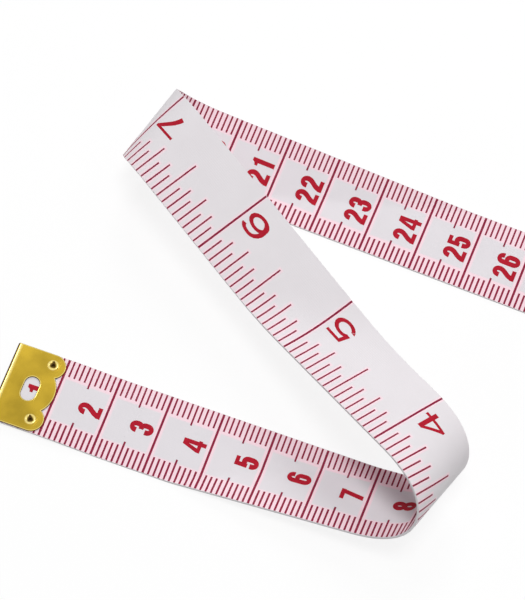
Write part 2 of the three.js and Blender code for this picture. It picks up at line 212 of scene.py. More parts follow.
INK_RISE = 0.015
INK_SINK = 0.01
LINE_WIDTH = 0.44
LEFT_TICK_WIDTH = 0.33
RIGHT_TICK_WIDTH = 0.37
TICK_LENGTH = 3.45
FIVE_LENGTH = 4.4
DRIFT = 0.16
DRIFT_START = 40
DRIFT_LENGTH = 460
INCH_LINE_WIDTH = 0.4
INCH_TICK_WIDTH = 0.31
INCH_PARTS = 16
INCH_TICKS = {8: 9.2, 4: 6.75, 2: 5.6, 1: 4.25}

# Its numerals, and how far some of them are printed off their row, towards the left edge

NARROW_NIB = (1.0, 0.85)
NARROW_WIDTH = 2.25
NARROW_PITCH = 2.8
NARROW_GAP = 0.9
NARROW_SHIFT = 0.15
OFF_ROW = {
    2: -0.3, 3: -0.15, 4: -0.1, 5: 0.3, 6: 0.3, 7: -0.3, 23: -0.25, 24: -0.4, 25: -0.2, 26: -0.35,
}
BROAD_NIB = (1.0, 0.6)
BROAD_PITCH = 5.2
BROAD_GAP = 0.92
BROAD_BASE = 4.95
INCH_OFF_ROW = {4: -0.25, 5: 0.2, 6: 0.1, 7: -0.15}

# The stain of the ink in the cloth, beside the marks

STAIN_FADE = 0.25
STAIN_STRENGTH = 0.85
TICKS_STAIN_REACH = 3.75
LINE_STAIN_REACH = 0.7
INCH_STAIN_STRENGTH = 0.75
INCH_STAIN_REACH = 0.5

# Colours, as linear red, green and blue

CLOTH = (0.765, 0.735, 0.765)
CLOTH_BACK = (0.79, 0.755, 0.78)
CLOTH_EDGE = (0.74, 0.71, 0.73)
INK = (0.43, 0.013, 0.029)
LINE_INK = (0.26, 0.020, 0.052)
STAIN = (0.98, 0.71, 0.78)
# A dark brown, painted on as shade, dull and not metallic
PAINTED_SHADE_BROWN = (0.075, 0.036, 0.008)
BRASS = (0.53, 0.36, 0.036)
# Pale brass, painted on as highlights
PAINTED_HIGHLIGHT_BRASS = (0.95, 0.80, 0.30)

# Materials: shades of a colour by their place in a pattern, scales of patterns, and roughness

CLOTH_SHADES = ((0.3, 0.975), (0.7, 1.012))
CLOTH_CLOUDS = 0.12
CLOTH_ROUGHNESS = (0.42, 0.54)
CLOTH_IOR = 1.46
WARP, WEFT = 0.7, 0.85
WEAVE_WAVER = 0.4
SKIN_GRAIN = 1.6
FACE_RELIEF, EDGE_RELIEF = 0.35, 0.8
WEAVE_HEIGHT = 0.02 * MM
INK_SHADES = ((0.3, 0.9), (0.7, 1.1))
INK_GRAIN = 900
INK_ROUGHNESS = (0.4, 0.5)
INK_IOR = 1.2
BRASS_SHADES = ((0.35, 0.78), (0.5, 1), (0.66, 1.25))
BRASS_BLOOM = 130
BRASS_ROUGHNESS = (0.2, 0.13)
# Roughness where shade is painted on the brass
PAINTED_SHADE_ROUGHNESS = 0.6
SCRATCH_DIRECTION = radians(35)
SCRATCH_SCALE = (700, 9000, 700)
SCRATCH_RELIEF = 0.25
SCRATCH_HEIGHT = 0.004 * MM

half_width = TAPE_WIDTH / 2
half_thickness = TAPE_THICKNESS / 2
print_edge = half_width - EDGE_ROUND
clip_width = TAPE_WIDTH - 2 * CLIP_INSET
clip_inner_radius = half_thickness + CLIP_PLAY
clip_outer_radius = clip_inner_radius + CLIP_SHEET
clip_middle_radius = clip_inner_radius + CLIP_SHEET / 2
rim_top = clip_outer_radius + RIM_PLAY + RIM_HEIGHT
tip_inset = CLIP_SHEET + CLIP_PLAY
rivet_x = CLIP_REACH - RIVET_FROM_FRONT
rivet_y = clip_width / 2 - RIVET_FROM_SIDE
hole_radius = RIVET_SHANK_RADIUS + RIVET_HOLE_PLAY

# A place x on the clip's leaf is x + to_u along the sheet from the middle of the fold
fold_half = clip_middle_radius * pi / 2
to_u = fold_half - clip_outer_radius


# The route of the tape, fold by fold. A station is a place on its middle line

Station = namedtuple("Station", "reading point along across up")


def ahead(station, reading):
    point = station.point + station.along * (reading - station.reading)
    return station._replace(reading=reading, point=point)


def times(amounts, direction):
    return np.multiply.outer(amounts, direction)


def on_flat(station, reading, side, height):
    """Points of a flat strip through a station."""
    return (
        station.point
        + times(reading - station.reading, station.along)
        + times(side, station.across)
        + times(height, station.up)
    )


class Fold:
    """A stretch whose slanted lines turn about themselves, one after another."""

    def __init__(self, start, length, turn, slant, ease):
        self.start, self.length, self.turn, self.slant, self.ease = start, length, turn, slant, ease
        self.slope = tan(slant)
        self.shares = np.linspace(0, 1, TABLE_STEPS + 1)
        angles = self.angle((self.shares[1:] + self.shares[:-1]) / 2)
        self.forward = np.concatenate([[0], np.cumsum(np.cos(angles))]) / TABLE_STEPS
        self.upward = np.concatenate([[0], np.cumsum(np.sin(angles))]) / TABLE_STEPS

    def angle(self, share):
        return self.turn * (share - self.ease * np.sin(2 * np.pi * share) / (2 * np.pi))

    def reach(self, share):
        """How far forward and up a fold of unit length has gone at a share of its length."""
        forward = np.interp(share, self.shares, self.forward)
        upward = np.interp(share, self.shares, self.upward)
        return forward, upward

    def line(self, share):
        """Middle of the slanted line at a share, and the strip's normal there."""
        forward, upward = self.reach(share)
        angle = self.angle(share)
        square = self.length * cos(self.slant)
        middle = (
            self.entry.point
            + times(share * self.length * sin(self.slant), self.ruling)
            + times(forward * square, self.ahead)
            + times(upward * square, self.entry.up)
        )
        rising = times(np.cos(angle), self.entry.up)
        return middle, rising - times(np.sin(angle), self.ahead)

    def enter(self, station):
        self.entry = ahead(station, self.start)
        sine, cosine = sin(self.slant), cos(self.slant)
        self.ruling = self.entry.along * sine + self.entry.across * cosine
        self.ahead = self.entry.along * cosine - self.entry.across * sine
        turned = self.ahead * cos(self.turn) + self.entry.up * sin(self.turn)
        middle, normal = self.line(1.0)
        along = self.ruling * sine + turned * cosine
        across = self.ruling * cosine - turned * sine
        self.exit = Station(self.start + self.length, middle, along, across, normal)
        return self.exit

    def share_at(self, reading, side):
        return (reading - self.start - side * self.slope) / self.length

    def place(self, reading, side, height):
        share = self.share_at(reading, side)
        middle, normal = self.line(np.clip(share, 0, 1))
        bent = middle + times(side / cos(self.slant), self.ruling)
        bent += normal * height[:, None]
        beyond = on_flat(self.exit, reading, side, height)
        return np.where((share > 1)[:, None], beyond, bent)

    def lines(self):
        """The slanted lines at which the strip is cut, as reading at the middle and slope."""
        facets = max(2, ceil(abs(degrees(self.turn)) / DEGREES_PER_FACET))
        return [(self.start + self.length * i / facets, self.slope) for i in range(facets + 1)]


class Winding:
    """The wound length: an even spiral that stands on the table."""

    def __init__(self, start, wound):
        self.start = start
        self.per_turn = (TAPE_THICKNESS + ROLL_PLAY) / (2 * pi)
        self.radius = sqrt(ROLL_CORE_RADIUS ** 2 + 2 * self.per_turn * wound)
        self.turn = (self.radius - ROLL_CORE_RADIUS) / self.per_turn

    def reading_at(self, angle):
        return self.start + self.radius * angle - self.per_turn * angle ** 2 / 2

    def share_at(self, reading, side):
        return reading - self.start

    def place(self, reading, side, height):
        under = self.radius ** 2 - 2 * self.per_turn * (reading - self.start)
        radius = np.maximum(np.sqrt(np.maximum(under, 0)), ROLL_CORE_RADIUS)
        angle = (self.radius - radius) / self.per_turn
        sine, cosine = np.sin(angle), np.cos(angle)
        forward = radius * sine + self.per_turn * (1 - cosine) - height * sine
        upward = self.radius - radius * cosine - self.per_turn * sine + height * cosine
        return (
            self.entry.point
            + times(forward, self.entry.along)
            + times(upward, self.entry.up)
            + times(side, self.entry.across)
        )

    def enter(self, station):
        self.entry = ahead(station, self.start)
        end = self.reading_at(self.turn)
        point = self.place(np.array([end]), np.zeros(1), np.zeros(1))[0]
        sine, cosine = sin(self.turn), cos(self.turn)
        along = self.entry.along * cosine + self.entry.up * sine
        up = self.entry.up * cosine - self.entry.along * sine
        self.exit = Station(end, point, along, self.entry.across, up)
        return self.exit

    def lines(self):
        count = ceil(degrees(self.turn) / ROLL_DEGREES_PER_FACET)
        return [(self.reading_at(self.turn * i / count), 0.0) for i in range(count + 1)]


def soft_fold(start, length, turn, slant):
    return Fold(start, length, turn, slant, SOFT_EASE_SHARE)


def landing_drop(turn):
    """How far a soft fold of unit length still comes down before the strip is level."""
    forward, upward = soft_fold(0, 1, turn, 0).reach(1)
    return forward * sin(abs(turn)) - abs(upward) * cos(turn)


def space_between(first_slant, second_slant):
    return half_width * abs(tan(first_slant) - tan(second_slant)) + FOLD_CLEARANCE


def make_route():
    """The strip's station at the zero end and at the far end, and every stretch between."""
    heading = radians(ZERO_HEADING)
    zero = Station(
        0.0,
        np.array([ZERO_X, ZERO_Y, rim_top]),
        np.array([cos(heading), sin(heading), 0.0]),
        np.array([-sin(heading), cos(heading), 0.0]),
        np.array([0.0, 0.0, 1.0]),
    )
    settle_turn = radians(SETTLE_TURN)
    leave = soft_fold(CLIP_REACH + SETTLE_CLEARANCE, SETTLE_LENGTH, -settle_turn, 0)
    sloping = leave.enter(zero)
    drop = SETTLE_LENGTH * landing_drop(settle_turn)
    run = (sloping.point[2] - half_thickness - drop) / sin(settle_turn)
    settle = soft_fold(sloping.reading + run, SETTLE_LENGTH, settle_turn, 0)
    level = settle.enter(sloping)

    slant = radians(LOWER_BEND_SLANT)
    turn = radians(LOWER_BEND_TURN)
    lower = Fold(LOWER_BEND_START, LOWER_BEND_LENGTH, turn, slant, BEND_EASE_SHARE)
    lift_slant = radians(LIFT_SLANT)
    lift_start = lower.start - space_between(lift_slant, slant) - LIFT_LENGTH
    lift = soft_fold(lift_start, LIFT_LENGTH, radians(LIFT_TURN), lift_slant)
    crossing = lower.enter(lift.enter(level))

    twist_slant = radians(TWIST_SLANT)
    twist_start = crossing.reading + space_between(slant, twist_slant)
    twist = soft_fold(twist_start, TWIST_LENGTH, radians(TWIST_TURN), twist_slant)
    twisted = twist.enter(crossing)

    # The upper bend's length follows from the height it comes down from. The landing fold turns
    # about the level line in the slope that comes out of it
    slant = radians(UPPER_BEND_SLANT)
    turn = radians(UPPER_BEND_TURN)
    before = ahead(twisted, UPPER_BEND_START)
    after = Fold(UPPER_BEND_START, 1.0, turn, slant, BEND_EASE_SHARE).enter(twisted)
    level_line = np.cross([0, 0, 1], after.up)
    level_line *= np.sign(level_line @ after.across)
    landing_slant = atan2(level_line @ after.along, level_line @ after.across)
    downhill = after.along * cos(landing_slant) - after.across * sin(landing_slant)
    landing_turn = -np.sign(downhill[2]) * acos(after.up[2])
    drop = LANDING_LENGTH * cos(landing_slant) * landing_drop(landing_turn)
    space = space_between(landing_slant, slant)
    fall = half_thickness + drop - space * after.along[2] - before.point[2]
    length = fall / (after.point[2] - before.point[2])
    upper = Fold(UPPER_BEND_START, length, turn, slant, BEND_EASE_SHARE)
    sloping = upper.enter(twisted)
    landing = soft_fold(sloping.reading + space, LANDING_LENGTH, landing_turn, landing_slant)
    outer = landing.enter(sloping)

    core_turn = radians(CORE_BEND_TURN)
    core_length = CORE_BEND_RADIUS * core_turn
    core_start = TAPE_LENGTH - CLIP_REACH - SETTLE_CLEARANCE - core_length
    winding = Winding(ROLL_START, core_start - ROLL_START)
    core = Fold(core_start, core_length, core_turn, 0.0, 0)
    far = ahead(core.enter(winding.enter(outer)), TAPE_LENGTH)
    return zero, far, [leave, settle, lift, lower, twist, upper, landing, winding, core]


zero_end, far_end, route = make_route()


def place(reading, side, height):
    """Where points of the flat tape come to lie, in metres."""
    reading, side, height = (
        np.ravel(a).astype(float) for a in np.broadcast_arrays(reading, side, height)
    )
    points = on_flat(zero_end, reading, side, height)
    for stretch in route:
        there = stretch.share_at(reading, side) > 0
        if there.any():
            points[there] = stretch.place(reading[there], side[there], height[there])
    return points * MM


def lines_between(first, second):
    """Lines across a flat stretch, turning evenly from one fold's slant to the next one's."""
    count = ceil((second[0] - first[0]) / FLAT_STEP)
    steps = [i / count for i in range(1, count)]
    return [tuple(a + (b - a) * t for a, b in zip(first, second)) for t in steps]


def all_lines():
    lines = [(tip_inset, 0.0)]
    for stretch in route:
        own = stretch.lines()
        lines += lines_between(lines[-1], own[0])
        lines += own if own[0][0] > lines[-1][0] + EDGE_ROUND else own[1:]
    last = (TAPE_LENGTH - tip_inset, 0.0)
    return np.array(lines + lines_between(lines[-1], last) + [last])


cut_lines = all_lines()


# Materials

def connect(tree, made, inputs):
    for key, value in inputs.items():
        if isinstance(value, bpy.types.NodeSocket):
            tree.links.new(value, made.inputs[key])
        else:
            made.inputs[key].default_value = value


def node(tree, kind, inputs, **settings):
    """The outputs of a new shader node. An input is a value, or another node's output."""
    made = tree.nodes.new("ShaderNode" + kind)
    for name, value in settings.items():
        setattr(made, name, value)
    connect(tree, made, inputs)
    return made.outputs


def maths(tree, operation, *values):
    return node(tree, "Math", dict(enumerate(values)), operation=operation)[0]


def noise(tree, where, scale, detail):
    inputs = {"Vector": where, "Scale": scale, "Detail": detail}
    return node(tree, "TexNoise", inputs)["Fac"]


def carried(tree, factor, low, high):
    """A factor from 0 to 1 carried to another range."""
    inputs = {"Value": factor, "To Min": low, "To Max": high}
    return node(tree, "MapRange", inputs)["Result"]


def bump(tree, height, strength, distance):
    inputs = {"Height": height, "Strength": strength, "Distance": distance}
    return node(tree, "Bump", inputs)["Normal"]


def shaded(tree, factor, colour, shades):
    """A colour that runs through shades of itself as the factor passes their places."""
    made = tree.nodes.new("ShaderNodeValToRGB")
    connect(tree, made, {"Fac": factor})
    elements = made.color_ramp.elements
    while len(elements) < len(shades):
        elements.new(0.5)
    for element, (position, strength) in zip(elements, shades):
        element.position = position
        element.color = (*(c * strength for c in colour), 1)
    return made.outputs["Color"]


def mixed(tree, share, under, colour):
    inputs = {"Factor": share, 6: under, 7: (*colour, 1)}
    return node(tree, "Mix", inputs, data_type="RGBA")[2]


def new_material(name):
    material = bpy.data.materials.new(name)
    material.use_nodes = True
    tree = material.node_tree
    return material, tree, tree.nodes["Principled BSDF"]


def stained_within(tree, distance, reach, strength):
    """A factor that is strength up to a distance from a mark and then fades."""
    inputs = {
        "Value": distance, "From Min": reach - STAIN_FADE, "From Max": reach + STAIN_FADE,
        "To Min": strength, "To Max": 0.0,
    }
    return node(tree, "MapRange", inputs, interpolation_type="SMOOTHSTEP")["Result"]


def centimetre_stain(tree, along, round_it):
    """Between the ticks at both edges, and beside each line."""
    row_place = maths(tree, "MODULO", round_it, UV_ROW_HEIGHT)
    from_edge = maths(tree, "PINGPONG", row_place, print_edge)
    from_line = maths(tree, "PINGPONG", along, CENTIMETRE / 2)
    return maths(
        tree, "MAXIMUM",
        stained_within(tree, from_edge, TICKS_STAIN_REACH, STAIN_STRENGTH),
        stained_within(tree, from_line, LINE_STAIN_REACH, STAIN_STRENGTH),
    )


def inch_stain(tree, along, round_it):
    """Beside each line, and beside each tick as far from the edge as it reaches."""
    row = maths(tree, "FLOOR", maths(tree, "DIVIDE", round_it, UV_ROW_HEIGHT))
    row_place = maths(tree, "MODULO", round_it, UV_ROW_HEIGHT)
    from_edge = maths(tree, "SUBTRACT", float(ring_run()[RING_HALF + RING_FACES]), row_place)
    later = maths(tree, "MINIMUM", row, 1.0)
    reading = maths(tree, "MULTIPLY_ADD", row, UV_ROW_LENGTH, along)
    reading = maths(tree, "MULTIPLY_ADD", later, ROLL_START - UV_ROW_LENGTH, reading)

    def beside(pitch):
        distance = maths(tree, "PINGPONG", reading, pitch / 2)
        return stained_within(tree, distance, INCH_STAIN_REACH, INCH_STAIN_STRENGTH)

    stain = beside(INCH)
    for step, length in INCH_TICKS.items():
        within = stained_within(tree, from_edge, length + INCH_STAIN_REACH / 2, 1.0)
        tick = maths(tree, "MULTIPLY", beside(step * INCH / INCH_PARTS), within)
        stain = maths(tree, "MAXIMUM", stain, tick)
    return stain


def cloth_material(name, colour, relief, stain_of=None):
    """Coated cloth: the weave shows faintly through a satin skin, with a few cloudy patches."""
    material, tree, shader = new_material(name)
    flat = node(tree, "UVMap", {}, uv_map="OFBake")["UV"]
    inputs = {0: flat, 1: (UV_SIDE,) * 3}
    millimetres = node(tree, "VectorMath", inputs, operation="MULTIPLY")[0]
    clouds = noise(tree, millimetres, CLOTH_CLOUDS, 4)
    patches = shaded(tree, clouds, colour, CLOTH_SHADES)
    if stain_of:
        parts = node(tree, "SeparateXYZ", {"Vector": millimetres})
        patches = mixed(tree, stain_of(tree, parts["X"], parts["Y"]), patches, STAIN)
    threads = []
    for direction, scale in (("X", WARP), ("Y", WEFT)):
        inputs = {"Vector": millimetres, "Scale": scale, "Distortion": WEAVE_WAVER}
        threads.append(node(tree, "TexWave", inputs, bands_direction=direction)["Fac"])
    skin = noise(tree, millimetres, SKIN_GRAIN, 3)
    height = maths(tree, "ADD", skin, maths(tree, "MAXIMUM", *threads))
    connect(tree, shader, {
        "Base Color": patches,
        "Roughness": carried(tree, clouds, *CLOTH_ROUGHNESS),
        "IOR": CLOTH_IOR,
        "Normal": bump(tree, height, relief, WEAVE_HEIGHT),
    })
    return material


def ink_material(name, ink):
    """Printed ink, a little thicker in some places than in others."""
    material, tree, shader = new_material(name)
    where = node(tree, "TexCoord", {})["Object"]
    cover = noise(tree, where, INK_GRAIN, 3)
    connect(tree, shader, {
        "Base Color": shaded(tree, cover, ink, INK_SHADES),
        "Roughness": carried(tree, cover, *INK_ROUGHNESS),
        "IOR": INK_IOR,
    })
    return material


def brass_material():
    """Thin stamped brass: fine scratches one way, a darker bloom in patches, and a painted
    highlight and a painted dark, dull shade where the mesh has them."""
    material, tree, shader = new_material("stamped_brass")
    where = node(tree, "TexCoord", {})["Object"]
    bloom = noise(tree, where, BRASS_BLOOM, 3)
    painted_highlight, painted_shade = (
        node(tree, "Attribute", {}, attribute_name=name)["Fac"]
        for name in ("painted_highlight", "painted_shade")
    )
    # Painted highlights and painted shade, mixed into the brass colour
    bright = mixed(tree, painted_highlight, shaded(tree, bloom, BRASS, BRASS_SHADES), PAINTED_HIGHLIGHT_BRASS)
    inputs = {"Vector": where, "Rotation": (0, 0, SCRATCH_DIRECTION), "Scale": SCRATCH_SCALE}
    scratches = noise(tree, node(tree, "Mapping", inputs)[0], 1, 2)
    gloss = carried(tree, bloom, *BRASS_ROUGHNESS)
    connect(tree, shader, {
        "Base Color": mixed(tree, painted_shade, bright, PAINTED_SHADE_BROWN),
        "Metallic": maths(tree, "SUBTRACT", 1.0, painted_shade),
        "Roughness": maths(tree, "MULTIPLY_ADD", painted_shade, PAINTED_SHADE_ROUGHNESS, gloss),
        "Normal": bump(tree, scratches, SCRATCH_RELIEF, SCRATCH_HEIGHT),
    })
    return material


# Meshes

def add_object(name, data):
    made = bpy.data.objects.new(name, data)
    scene.collection.objects.link(made)
    return made


def smooth(mesh):
    mesh.shade_smooth()
    mesh.set_sharp_from_angle(angle=SHARP_ANGLE)


def new_piece(name, points, faces, materials, replaced=()):
    mesh = bpy.data.meshes.new(name)
    mesh.from_pydata(np.asarray(points).tolist(), [], faces)
    mesh.validate()
    smooth(mesh)
    for material in materials:
        mesh.materials.append(material)
    piece = add_object(name, mesh)
    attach(piece, "root")
    if replaced:
        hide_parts(*replaced)
    return piece


def ring_walls(first, size, levels):
    """Quads between closed rings of points, each ring right after the one before."""
    faces = []
    for level in range(levels - 1):
        for spot in range(size):
            here, beside = (first + level * size + s for s in (spot, (spot + 1) % size))
            faces.append((here, here + size, beside + size, beside))
    return faces


# The tape as rings of points, one at each line. A ring goes over the centimetre face, round the
# left edge, under the inch face and round the right edge

def ring_outline():
    round_in = half_thickness - EDGE_ROUND
    corner = EDGE_ROUND * sqrt(0.5)
    top = [(-print_edge, half_thickness), (0, half_thickness), (print_edge, half_thickness)]
    left = [
        (print_edge + corner, round_in + corner), (half_width, round_in),
        (half_width, -round_in), (print_edge + corner, -round_in - corner),
    ]
    half = top + left
    return np.array(half + [(-side, -height) for side, height in half])


def ring_run():
    """How far round the ring each of its points lies, and the whole way round."""
    outline = ring_outline()
    steps = np.linalg.norm(np.diff(outline, axis=0, append=outline[:1]), axis=1)
    return np.concatenate([[0], np.cumsum(steps)])


def map_row(reading):
    """The row of the tape's map that a reading is in, and the reading where that row starts."""
    past = reading - ROLL_START
    if past < 0:
        return 0, 0
    row = 1 + min(UV_ROWS - 1, int(past / UV_ROW_LENGTH))
    return row, ROLL_START + (row - 1) * UV_ROW_LENGTH


def make_tape():
    outline, run = ring_outline(), ring_run()
    count, lines = len(outline), len(cut_lines)
    side, height = np.tile(outline, (lines, 1)).T
    reading = np.repeat(cut_lines[:, 0], count) + side * np.repeat(cut_lines[:, 1], count)
    faces = ring_walls(0, count, lines)
    corners = []
    for line in range(lines - 1):
        row, row_start = map_row(cut_lines[line, 0])
        for spot in range(count):
            here, beside = line * count + spot, line * count + (spot + 1) % count
            ends = (here, spot), (here + count, spot), (beside + count, spot + 1), (beside, spot + 1)
            for index, across in ends:
                corners.append((reading[index] - row_start, run[across] + row * UV_ROW_HEIGHT))
    front, back, edge = 0, 1, 2
    round_edge = [edge] * (RING_HALF - RING_FACES)
    round_ring = [front] * RING_FACES + round_edge + [back] * RING_FACES + round_edge
    materials = round_ring * (lines - 1) + [edge, edge]
    faces += [tuple(range(count)), tuple(range(lines * count - 1, (lines - 1) * count - 1, -1))]
    corners += 2 * [(UV_SIDE - up, UV_SIDE - out - half_width) for out, up in outline]
    tape = new_piece(
        "tape", place(reading, side, height), faces,
        [
            cloth_material("coated_cloth_front", CLOTH, FACE_RELIEF, centimetre_stain),
            cloth_material("coated_cloth_back", CLOTH_BACK, FACE_RELIEF, inch_stain),
            cloth_material("coated_cloth_edge", CLOTH_EDGE, EDGE_RELIEF),
        ],
        [
            "tape_zero_run", "tape_lower_bend", "tape_crossing_run", "tape_upper_bend",
            "tape_outer_run", "tape_roll",
        ],
    )
    tape.data.polygons.foreach_set("material_index", materials)
    uv = tape.data.uv_layers.new(name="OFBake")
    uv.uv.foreach_set("vector", (np.array(corners) / UV_SIDE).ravel())
    return tape


# The print: outlines on the flat tape, in millimetres

def rectangle(left, bottom, right, top):
    return np.array([(left, bottom), (right, bottom), (right, top), (left, top)])


def arc(x, y, wide, high, first, last):
    steps = max(2, ceil(abs(last - first) / NUMERAL_ARC_DEGREES))
    angles = np.radians(np.linspace(first, last, steps + 1))
    return np.stack([x + wide * np.cos(angles), y + high * np.sin(angles)], 1)


def curve(*points):
    """A Bezier curve from its first point to its last one."""
    share = np.linspace(0, 1, CURVE_POINTS)[:, None]
    layers = [np.array([point], float) for point in points]
    while len(layers) > 1:
        layers = [a * (1 - share) + b * share for a, b in zip(layers, layers[1:])]
    return layers[0]


def stroke(nib, *parts):
    """Quads along a path, as wide as a flat nib leaves it in each direction."""
    path = np.vstack(parts)
    steps = np.linalg.norm(np.diff(path, axis=0), axis=1)
    path = path[np.concatenate([[True], steps > STROKE_CLOSENESS])]
    along = np.gradient(path, axis=0)
    if np.allclose(path[0], path[-1], atol=STROKE_CLOSENESS):
        along[0] = along[-1] = path[1] - path[-2]
    along /= np.linalg.norm(along, axis=1)[:, None]
    normal = np.stack([-along[:, 1], along[:, 0]], 1)
    half = np.hypot(normal[:, 0] * nib[0], normal[:, 1] * nib[1])[:, None] / 2
    left, right = path + normal * half, path - normal * half
    quads = []
    for i, run in enumerate(np.diff(path, axis=0)):
        corners = [left[i], right[i], right[i + 1], left[i + 1]]
        if (left[i + 1] - left[i]) @ run <= 0:
            corners.pop()
        elif (right[i + 1] - right[i]) @ run <= 0:
            corners.pop(2)
        quads.append(np.array(corners))
    return quads


def turned_round(glyph, width, height):
    return [np.array([width, height]) - outline for outline in glyph]


def narrow_glyphs():
    """Bold upright numerals of the centimetre face."""
    draw = partial(stroke, NARROW_NIB)
    glyphs = {
        "0": draw(
            [(0.46, 1.3)], arc(1.125, 3.1, 0.665, 0.91, 180, 0),
            arc(1.125, 1.3, 0.665, 0.91, 0, -180),
        ),
        "1": [np.array([
            (0.55, 0), (1.47, 0), (1.47, 4.35), (0.80, 4.35), (0.62, 4.0),
            (0.35, 3.82), (0, 3.75), (0, 3.2), (0.55, 3.2),
        ]) + (0.3, 0)],
        "2": draw(
            [(0.45, 3.02)], arc(1.12, 3.2, 0.67, 0.82, 180, 0),
            curve((1.79, 3.2), (1.79, 2.55), (1.35, 2.15), (0.9, 1.5)),
            curve((0.9, 1.5), (0.6, 1.05), (0.5, 0.4)),
        ) + [rectangle(0, 0, 2.2, 0.8)],
        "3": draw(
            [(0.45, 3.1)], arc(1.1, 3.25, 0.65, 0.78, 180, 0),
            curve((1.75, 3.0), (1.75, 2.6), (1.55, 2.32), (0.85, 2.3)),
        ) + draw(
            curve((0.85, 2.3), (1.55, 2.3), (1.75, 2.0), (1.75, 1.5)),
            arc(1.1, 1.2, 0.65, 0.8, 0, -180), [(0.45, 1.5)],
        ),
        "4": [
            rectangle(1.33, 0, 2.15, 4.3), rectangle(0, 0.85, 2.38, 1.55),
            np.array([(0, 1.5), (0.8, 1.5), (1.35, 3.3), (1.7, 4.3), (0.97, 4.3)]),
        ],
        "5": [rectangle(0, 3.55, 1.83, 4.3), rectangle(0, 1.95, 0.85, 4.3)] + draw(
            curve((0.72, 2.2), (0.8, 2.62), (1.0, 2.68), (1.15, 2.68)),
            curve((1.15, 2.68), (1.55, 2.68), (1.73, 2.3), (1.73, 1.9)),
            arc(1.1, 1.15, 0.63, 0.78, 0, -180), [(0.46, 1.5)],
        ),
        "6": draw(
            [(1.83, 3.15)], arc(1.17, 3.3, 0.66, 0.75, 0, 180),
            arc(1.17, 1.2, 0.67, 0.82, 180, 360), arc(1.25, 1.9, 0.59, 0.68, 0, 130),
        ),
        "7": [
            rectangle(0, 3.45, 2.3, 4.25),
            np.array([(0.65, 0), (1.6, 0), (2.3, 3.9), (2.3, 4.25), (1.3, 3.45)]),
        ],
        "8": draw(arc(1.12, 3.2, 0.62, 0.86, 0, 360)) + draw(arc(1.12, 1.3, 0.67, 0.92, 0, 360)),
    }
    glyphs["9"] = turned_round(glyphs["6"], 2.3, 4.4)
    return glyphs


def broad_glyphs():
    """Wide numerals of the inch face."""
    draw = partial(stroke, BROAD_NIB)
    glyphs = {
        "0": draw(arc(2.4, 2.17, 1.9, 1.9, 0, 360)),
        "1": [np.array([
            (1.9, 0), (2.82, 0), (2.82, 4.3), (2.3, 4.3), (2.0, 3.95),
            (1.4, 3.7), (0.9, 3.65), (0.9, 3.15), (1.9, 3.15),
        ])],
        "2": draw(
            arc(2.33, 2.95, 1.85, 1.1, 172, 0),
            curve((4.18, 2.95), (4.18, 1.9), (0.9, 1.7), (0.6, 0.35)),
        ) + [rectangle(0.1, 0, 4.7, 0.53)],
        "3": draw(arc(2.3, 3.14, 1.72, 0.9, 160, -90))
        + draw(arc(2.33, 1.32, 1.9, 1.05, 90, -160)),
        "4": [
            rectangle(3.03, 0, 3.97, 4.25), rectangle(0, 0.98, 4.95, 1.5),
            np.array([(0, 1.4), (0.95, 1.45), (3.05, 3.45), (3.4, 4.25), (3.05, 4.25)]),
        ],
        "5": [
            rectangle(0.75, 3.75, 4.4, 4.3),
            np.array([(0.75, 4.3), (0.17, 2.05), (1.0, 2.05), (1.55, 4.3)]),
            *draw(arc(2.33, 1.5, 1.93, 1.22, 142, -142)),
            np.array([
                (0.0, 1.24), (0.94, 1.24), (1.08, 0.98), (1.1, 0.5), (0.62, 0.48), (0.25, 0.75),
            ]),
        ],
        "6": draw(
            [(4.36, 3.26), (4.34, 3.4)],
            curve((4.2, 3.56), (3.9, 3.95), (3.2, 4.07), (2.33, 4.07)),
            arc(2.33, 2.17, 1.88, 1.9, 90, 270),
        ) + draw(arc(2.42, 1.42, 1.92, 1.14, 0, 360)),
        "7": [rectangle(0, 3.75, 4.85, 4.25)]
        + draw(curve((4.45, 4.0), (3.4, 2.95), (1.95, 1.7), (1.67, 0))),
        "8": draw(arc(2.4, 3.17, 1.6, 0.88, 0, 360)) + draw(arc(2.4, 1.38, 1.9, 1.1, 0, 360)),
    }
    glyphs["9"] = turned_round(glyphs["6"], 4.75, 4.33)
    return glyphs


def written(glyphs, number, pitch):
    """Outlines of a number's digits, one after another."""
    digits = enumerate(str(number))
    return [outline + (pitch * i, 0) for i, digit in digits for outline in glyphs[digit]]


def line_across(reading, width):
    return [rectangle(reading - width / 2, -print_edge, reading + width / 2, print_edge)]


def ticks(reading, width, bottom, top):
    """A tick as a mark of its own, or none where it would reach a rivet hole."""
    left, right = reading - width / 2, reading + width / 2
    for hole_reading in (rivet_x, TAPE_LENGTH - rivet_x):
        for hole_side in (rivet_y, -rivet_y):
            along = np.clip(hole_reading, left, right) - hole_reading
            across = np.clip(hole_side, bottom, top) - hole_side
            if hypot(along, across) < hole_radius + EDGE_ROUND:
                return []
    return [[rectangle(left, bottom, right, top)]]


